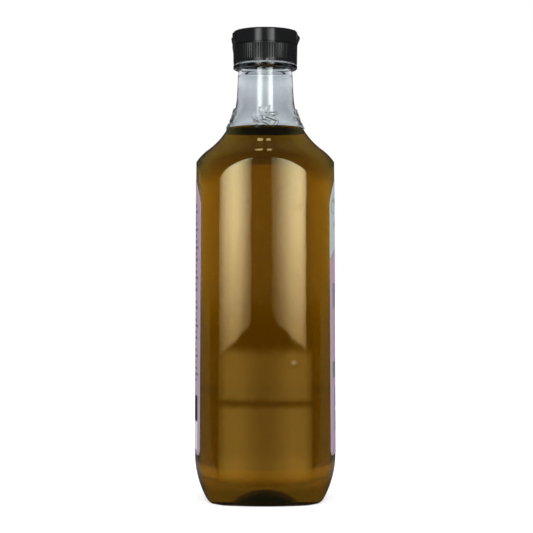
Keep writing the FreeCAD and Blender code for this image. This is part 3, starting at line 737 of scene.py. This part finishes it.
# The front label: a pale field over a lilac one, parted by a sagging line, with a sprig and
# two rings on the pale field and plain blocks on the lilac one.
FIELD_LINE = 139.7                       # height of the line in the middle
FIELD_SAG = -0.012                       # its fall for each millimetre across, squared
front_print = Print("label_paper_front", LILAC)
front = front_print.material
line = add(front, "ShaderNodeMath", {0: front_print.across, 1: front_print.across},
           operation="MULTIPLY")
line = add(front, "ShaderNodeMath", {0: line, 1: FIELD_SAG, 2: FIELD_LINE},
           operation="MULTIPLY_ADD")
above = add(front, "ShaderNodeMath", {0: front_print.up, 1: line}, operation="SUBTRACT")
for height, colour in ((-0.5, INK), (0.0, PALE)):
    over = add(front, "ShaderNodeMath", {0: above, 1: height}, operation="GREATER_THAN")
    front_print.paint(over, colour)
for side in (-1, 1):
    front_print.oval(INK, 0.12, side * 16.2, 161.6, 5.4, 3.7)
    front_print.oblong(INK, side * 16.8, 166.2, 0.35, 1.2)
    front_print.oval("#7F9483", 1.0, side * 6.2, 163.5, 7.0, 2.1, side * 24.0)
    front_print.oval("#93A68F", 1.0, side * 8.4, 153.0, 6.4, 1.9, side * -20.0)
front_print.oval("#6E7F5E", 1.0, 0.0, 152.0, 3.4, 4.6)
front_print.oval("#A9B79B", 1.0, -1.0, 153.6, 1.1, 1.7)
front_print.oblong("#8F8A9A", 0.0, 113.0, 18.5, 6.8)
front_print.oblong("#7B8C88", 0.0, 72.6, 19.0, 4.5)
front_print.oblong("#8293AD", 0.0, 50.5, 14.5, 12.5)
front_print.oblong(PALE, 0.0, 50.5, 12.5, 1.0)
front_print.finish()

# The back label: grey bars in rows, of uneven length, over a dark and a white block.
ROW_SPACING = 3.3
ROW_INKED = 0.42                         # share of the spacing
ROWS_MIDDLE, ROWS_HALF = 113.9, 49.5
BAR_HALF, BAR_SHORTER = 19.5, -7.0       # longest half length, and most that a bar loses
BAR_STEP = 0.381                         # a bar loses the fraction of this times its number
back_print = Print("label_paper_back", LILAC)
back = back_print.material
row = add(back, "ShaderNodeMath", {0: back_print.up, 1: ROW_SPACING}, operation="DIVIDE")
in_row = add(back, "ShaderNodeMath", {0: row}, operation="FRACT")
inked = add(back, "ShaderNodeMath", {0: in_row, 1: ROW_INKED}, operation="LESS_THAN")
number = add(back, "ShaderNodeMath", {0: row}, operation="FLOOR")
loss = add(back, "ShaderNodeMath", {0: number, 1: BAR_STEP}, operation="MULTIPLY")
loss = add(back, "ShaderNodeMath", {0: loss}, operation="FRACT")
half = add(back, "ShaderNodeMath", {0: loss, 1: BAR_SHORTER, 2: BAR_HALF},
           operation="MULTIPLY_ADD")
off_across = add(back, "ShaderNodeMath", {0: back_print.across}, operation="ABSOLUTE")
short = add(back, "ShaderNodeMath", {0: off_across, 1: half}, operation="LESS_THAN")
off_up = add(back, "ShaderNodeMath", {0: back_print.up, 1: ROWS_MIDDLE}, operation="SUBTRACT")
off_up = add(back, "ShaderNodeMath", {0: off_up}, operation="ABSOLUTE")
within = add(back, "ShaderNodeMath", {0: off_up, 1: ROWS_HALF}, operation="LESS_THAN")
barred = add(back, "ShaderNodeMath", {0: short, 1: within}, operation="MULTIPLY")
barred = add(back, "ShaderNodeMath", {0: inked, 1: barred}, operation="MULTIPLY")
back_print.paint(barred, "#67646E")
back_print.oblong("#2F3236", 0.0, 51.3, 18.8, 6.9)
back_print.oblong("#E9ECEE", 0.0, 36.3, 18.8, 7.6)
back_print.oval(INK, 0.08, 0.0, 36.3, 7.0, 5.0)
back_print.finish()

for name, outward, sheet in (("label_front", 1, front_print), ("label_back", -1, back_print)):
    paper = label_piece(name + "_paper", outward, sheet.material)
    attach(paper, "filled_bottle")
    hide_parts(name)


# ----------------------------------------------------------------------- floor and lights
# A floor, two tall soft boxes in front with a gap between them, small lamps overhead and a pale
# surround, which the bottle shows mirrored in its panels and seen through the oil.  The white
# round table, the dark gap and the studio's floor beyond are a painted glow on the floor, seen
# only by mirrored and refracted rays.

def stage_plane(name, corners, material):
    """A flat stage piece through four corners."""
    mesh = bpy.data.meshes.new(name)
    mesh.from_pydata(corners, [], [(0, 1, 2, 3)])
    mesh.materials.append(material)
    plane = bpy.data.objects.new(name, mesh)
    bpy.context.scene.collection.objects.link(plane)
    return plane


# The floor is white to the eye, apart from the bottle's own soft shadow.  Mirrored in the bottle
# and seen through the oil it is a painted glow instead: mirrored, a painted warm reflection,
# brightest to either side of straight ahead; seen through the oil a darker white; mirrored at a
# glancing angle, behind the bottle, nearly black; and each darkest close round the bottle's foot,
# a painted shadow.
FLOOR_HALF = 6.0
TABLE_EDGE = 0.645
GAP_EDGE = 0.69
FLOOR_SPAN = 4.0                         # distances below are shares of this
EDGE, GAP = TABLE_EDGE / FLOOR_SPAN, GAP_EDGE / FLOOR_SPAN
RIM = 0.008
BEHIND = -0.05                           # Y past which the floor counts as behind
FLOOR_GLOW = 0.5
PAINTED_REFLECTION_BY_DISTANCE = [
    (0.0, 0.05), (0.012, 0.1), (0.022, 1.1), (0.038, 1.4), (0.07, 1.1), (EDGE - RIM, 1.05),
    (EDGE, 0.15), (GAP, 0.15), (GAP + RIM, 1.05), (0.38, 1.0), (0.46, 0.0)]
PAINTED_REFLECTION_BY_SLANT = [(0.0, 0.5), (0.1, 0.55), (0.4, 1.0), (0.6, 0.9), (0.76, 0.35), (1, 0.05)]
PAINTED_THROUGH_BY_DISTANCE = [
    (0.0, 0.03), (0.01, 0.06), (0.022, 0.35), (0.05, 0.48), (EDGE - RIM, 0.46), (EDGE, 0.38),
    (GAP, 0.38), (GAP + RIM, 0.5), (0.36, 0.55), (0.5, 0.6), (0.85, 0.71), (1.0, 0.76)]
PAINTED_THROUGH_BY_SLANT = [(0.0, 0.71), (0.1, 0.71), (0.35, 0.93), (0.55, 1.0), (0.72, 0.8),
                    (0.9, 0.25)]
THROUGH_STRENGTH = 1.4
PAINTED_GLANCING_BY_DISTANCE = [
    (0.0, 0.03), (0.012, 0.04), (0.022, 0.15), (0.032, 0.14), (0.05, 0.08), (1.0, 0.06)]

floor_paint = new_material("floor_white_table")
floor_path = add(floor_paint, "ShaderNodeLightPath")
floor_place = add(floor_paint, "ShaderNodeTexCoord")
floor_axes = add(floor_paint, "ShaderNodeSeparateXYZ", {"Vector": (floor_place, "Object")})
floor_far = add(floor_paint, "ShaderNodeVectorMath", {0: (floor_place, "Object")},
                operation="LENGTH")
far_share = add(floor_paint, "ShaderNodeMath", {0: (floor_far, "Value"), 1: FLOOR_SPAN},
                operation="DIVIDE")
# The slant is how far aside a place lies for its distance ahead or behind.
slant = add(floor_paint, "ShaderNodeMath", {0: (floor_axes, "X"), 1: (floor_axes, "Y")},
            operation="DIVIDE")
slant = add(floor_paint, "ShaderNodeMath", {0: (slant, "Value")}, operation="ABSOLUTE")
# Mirrored rays see painted tones: dark close round the foot as a painted shadow, a painted table
# edge and dark gap, brighter to either side.
mirrored = add(floor_paint, "ShaderNodeValToRGB", {"Fac": (far_share, "Value")},
               stops=PAINTED_REFLECTION_BY_DISTANCE)
sector = add(floor_paint, "ShaderNodeValToRGB", {"Fac": (slant, "Value")},
             stops=PAINTED_REFLECTION_BY_SLANT)
lit = add(floor_paint, "ShaderNodeMix", {0: 1.0, 6: (mirrored, "Color"), 7: (sector, "Color")},
          data_type="RGBA", blend_type="MULTIPLY")
# A painted warm tint on that mirrored glow.
warm = add(floor_paint, "ShaderNodeMix", {0: 1.0, 6: (lit, 2), 7: linear("#FFCF7C")},
           data_type="RGBA", blend_type="MULTIPLY")
floor_painted_reflection = add(floor_paint, "ShaderNodeEmission", {"Color": (warm, 2)})
# Rays through the oil see painted tones too, dark close round the foot as a painted shadow.
through = add(floor_paint, "ShaderNodeValToRGB", {"Fac": (far_share, "Value")},
              stops=PAINTED_THROUGH_BY_DISTANCE)
side_light = add(floor_paint, "ShaderNodeValToRGB", {"Fac": (slant, "Value")},
                 stops=PAINTED_THROUGH_BY_SLANT)
side_light = add(floor_paint, "ShaderNodeMath",
                 {0: (side_light, "Color"), 1: THROUGH_STRENGTH}, operation="MULTIPLY")
floor_painted_through = add(floor_paint, "ShaderNodeEmission", {"Color": (through, "Color"),
                                                        "Strength": (side_light, "Value")})
# Mirrored at a glancing angle behind the bottle, a painted near-black glow.
glancing = add(floor_paint, "ShaderNodeValToRGB", {"Fac": (far_share, "Value")},
               stops=PAINTED_GLANCING_BY_DISTANCE)
floor_painted_glancing = add(floor_paint, "ShaderNodeEmission", {"Color": (glancing, "Color")})
floor_card = add(floor_paint, "ShaderNodeBsdfDiffuse", Color=linear("#F4F4F4"))
floor_glow = add(floor_paint, "ShaderNodeEmission", Color=linear("#FFFFFF"),
                 Strength=FLOOR_GLOW)
floor_white = add(floor_paint, "ShaderNodeAddShader", {0: (floor_card, "BSDF"),
                                                       1: (floor_glow, "Emission")})
floor_view = add(floor_paint, "ShaderNodeMixShader", {
    0: (floor_path, "Is Camera Ray"), 1: (floor_card, "BSDF"), 2: (floor_white, "Shader")})
floor_shine = add(floor_paint, "ShaderNodeMixShader", {
    0: (floor_path, "Is Glossy Ray"), 1: (floor_view, "Shader"),
    2: (floor_painted_reflection, "Emission")})
behind = add(floor_paint, "ShaderNodeMath", {0: (floor_axes, "Y"), 1: BEHIND},
             operation="GREATER_THAN")
behind = add(floor_paint, "ShaderNodeMath", {0: (behind, "Value"),
                                             1: (floor_path, "Is Glossy Ray")},
             operation="MULTIPLY")
floor_behind = add(floor_paint, "ShaderNodeMixShader", {
    0: (floor_path, "Is Transmission Ray"), 1: (floor_painted_glancing, "Emission"),
    2: (floor_painted_through, "Emission")})
floor_mix = add(floor_paint, "ShaderNodeMixShader", {
    0: (behind, "Value"), 1: (floor_shine, "Shader"), 2: (floor_behind, "Shader")})
add(floor_paint, "ShaderNodeOutputMaterial", {"Surface": (floor_mix, "Shader")})
stage_plane("floor", [(-FLOOR_HALF, -FLOOR_HALF, 0), (FLOOR_HALF, -FLOOR_HALF, 0),
                      (FLOOR_HALF, FLOOR_HALF, 0), (-FLOOR_HALF, FLOOR_HALF, 0)], floor_paint)

BOX_STRENGTH = 4.6
BOX_DISTANCE = (1.3, 0.95)               # of a box's inner and outer side from the bottle
BOX_TOP = 1.3
BOX_FADE = 0.19                          # the cloth grows brighter up to this height
BOX_DIM = 0.2                            # from this share of its strength
WARM_TOP = 0.48                          # and loses its warmth up to this one
WARMTH = [(0.025, "#FFD5A0"), (0.2, "#FFE8DA"), (0.5, "#FFF4F6"), (0.8, "#F2FAF6")]


def soft_box(name, inner, outer, feet, stops):
    """A tall glowing cloth from one azimuth to another, degrees from the front, standing on
    feet at either side; stops are its tones across, brightest where the lamp behind it is."""
    material = new_material(name + "_cloth")
    (x0, y0), (x1, y1) = [(distance * math.sin(turn), -distance * math.cos(turn))
                          for turn, distance in zip(np.radians((inner, outer)), BOX_DISTANCE)]
    place = add(material, "ShaderNodeTexCoord")
    axes = add(material, "ShaderNodeSeparateXYZ", {"Vector": (place, "Object")})
    fade = add(material, "ShaderNodeMapRange", {"Value": (axes, "Z")}, From_Min=0.0,
               From_Max=BOX_FADE, To_Min=BOX_DIM * BOX_STRENGTH, To_Max=BOX_STRENGTH)
    share = add(material, "ShaderNodeMapRange", {"Value": (axes, "X")}, From_Min=x0, From_Max=x1)
    across = add(material, "ShaderNodeValToRGB", {"Fac": (share, "Result")}, stops=stops)
    height = add(material, "ShaderNodeMapRange", {"Value": (axes, "Z")},
                 From_Min=0.0, From_Max=WARM_TOP)
    warmth = add(material, "ShaderNodeValToRGB", {"Fac": (height, "Result")}, stops=WARMTH)
    cloth = add(material, "ShaderNodeMix", {0: 1.0, 6: (across, "Color"), 7: (warmth, "Color")},
                data_type="RGBA", blend_type="MULTIPLY")
    glow = add(material, "ShaderNodeEmission", {"Strength": (fade, "Result"),
                                                "Color": (cloth, 2)})
    add(material, "ShaderNodeOutputMaterial", {"Surface": (glow, "Emission")})
    box = stage_plane(name, [(x0, y0, feet[0]), (x1, y1, feet[1]), (x1, y1, BOX_TOP),
                             (x0, y0, BOX_TOP)], material)
    box.visible_camera = False


soft_box("soft_box_left", -11.0, -37.0, (0.06, 0.033), [
    (0, 0.12), (0.26, 0.5), (0.45, 0.87), (0.66, 1.0), (0.84, 0.75), (0.96, 0.37), (1, 0.25)])
soft_box("soft_box_right", 5.0, 32.8, (0.07, 0.04), [
    (0, 0.08), (0.18, 0.19), (0.4, 0.44), (0.66, 0.87), (0.86, 1.05), (0.96, 0.7), (1, 0.35)])

# Two pairs of small lamps overhead glint in the shoulder.
LAMP_HEIGHT = 1.5
LAMP_DEPTH = 0.14
LAMPS = [("left_front", -0.05, -0.19, 0.07), ("right_front", 0.03, 0.13, 0.07),
         ("left_back", -0.05, -0.2, 0.5), ("right_back", 0.04, 0.17, 0.5)]
lamp_cloth = new_material("soft_box_top_cloth")
lamp_glow = add(lamp_cloth, "ShaderNodeEmission", Color=linear("#FFF0C8"), Strength=2.6)
add(lamp_cloth, "ShaderNodeOutputMaterial", {"Surface": (lamp_glow, "Emission")})
for place_name, inner, outer, y in LAMPS:
    lamp = stage_plane("soft_box_top_" + place_name, [
        (inner, y, LAMP_HEIGHT), (outer, y, LAMP_HEIGHT), (outer, y + LAMP_DEPTH, LAMP_HEIGHT),
        (inner, y + LAMP_DEPTH, LAMP_HEIGHT)], lamp_cloth)
    lamp.visible_camera = False
    lamp.visible_diffuse = False

# The surround: white to the eye, an even pale light on what is not clear, and nearly dark
# to mirrored rays.  Through the oil it is brightest behind the bottle, level with the eye
# and a little to either side.
ROOM_LIGHT = 0.8
MIRRORED_ROOM = 0.04
UPWARD = [(0.0, 0.62), (0.4, 0.92), (0.52, 1.0), (0.6, 0.8), (0.67, 0.54), (0.73, 0.55),
          (0.79, 0.7), (1.0, 0.45)]
world = bpy.data.worlds.new("studio")
bpy.context.scene.world = world
world.use_nodes = True
world.node_tree.nodes.clear()
path = add(world, "ShaderNodeLightPath")
view = add(world, "ShaderNodeTexCoord")
way = add(world, "ShaderNodeSeparateXYZ", {"Vector": (view, "Generated")})
ahead = add(world, "ShaderNodeMapRange", {"Value": (way, "Y")}, interpolation_type="SMOOTHSTEP",
            From_Min=0.0, From_Max=0.9, To_Min=0.1, To_Max=1.0)
steep = add(world, "ShaderNodeMapRange", {"Value": (way, "Z")}, From_Min=-0.1, From_Max=0.2)
upward = add(world, "ShaderNodeValToRGB", {"Fac": (steep, "Result")}, stops=UPWARD)
sideways = add(world, "ShaderNodeMath", {0: (way, "X")}, operation="ABSOLUTE")
sideways = add(world, "ShaderNodeMapRange", {"Value": (sideways, "Value")}, From_Min=0.1,
               From_Max=0.45, To_Min=1.0, To_Max=1.4, interpolation_type="SMOOTHSTEP")
bright = add(world, "ShaderNodeMath", {0: (ahead, "Result"), 1: (upward, "Color")},
             operation="MULTIPLY")
bright = add(world, "ShaderNodeMath", {0: (bright, "Value"), 1: (sideways, "Result")},
             operation="MULTIPLY")
backdrop, white, room, dark = [
    add(world, "ShaderNodeBackground", {"Color": linear("#FFFFFF"), "Strength": strength})
    for strength in ((bright, "Value"), 1.0, ROOM_LIGHT, MIRRORED_ROOM)]
surround = room
for flag, seen in (("Is Glossy Ray", dark), ("Is Transmission Ray", backdrop),
                   ("Is Camera Ray", white)):
    surround = add(world, "ShaderNodeMixShader", {
        0: (path, flag), 1: (surround, 0), 2: (seen, "Background")})
add(world, "ShaderNodeOutputWorld", {"Surface": (surround, "Shader")})


# ------------------------------------------------------------------------------- camera
# A long lens level with the middle of the bottle, square on to a bare panel, so that the
# two labels show edge-on.

EYE = (0.0007, -0.784, 0.129)
camera_data = bpy.data.cameras.new("camera")
camera_data.lens = 94.56
camera_data.sensor_width = 36.0
camera = bpy.data.objects.new("camera", camera_data)
camera.location = EYE
camera.rotation_euler = (math.radians(90), 0, 0)
bpy.context.scene.collection.objects.link(camera)
bpy.context.scene.camera = camera
bpy.context.scene.view_settings.view_transform = "Standard"
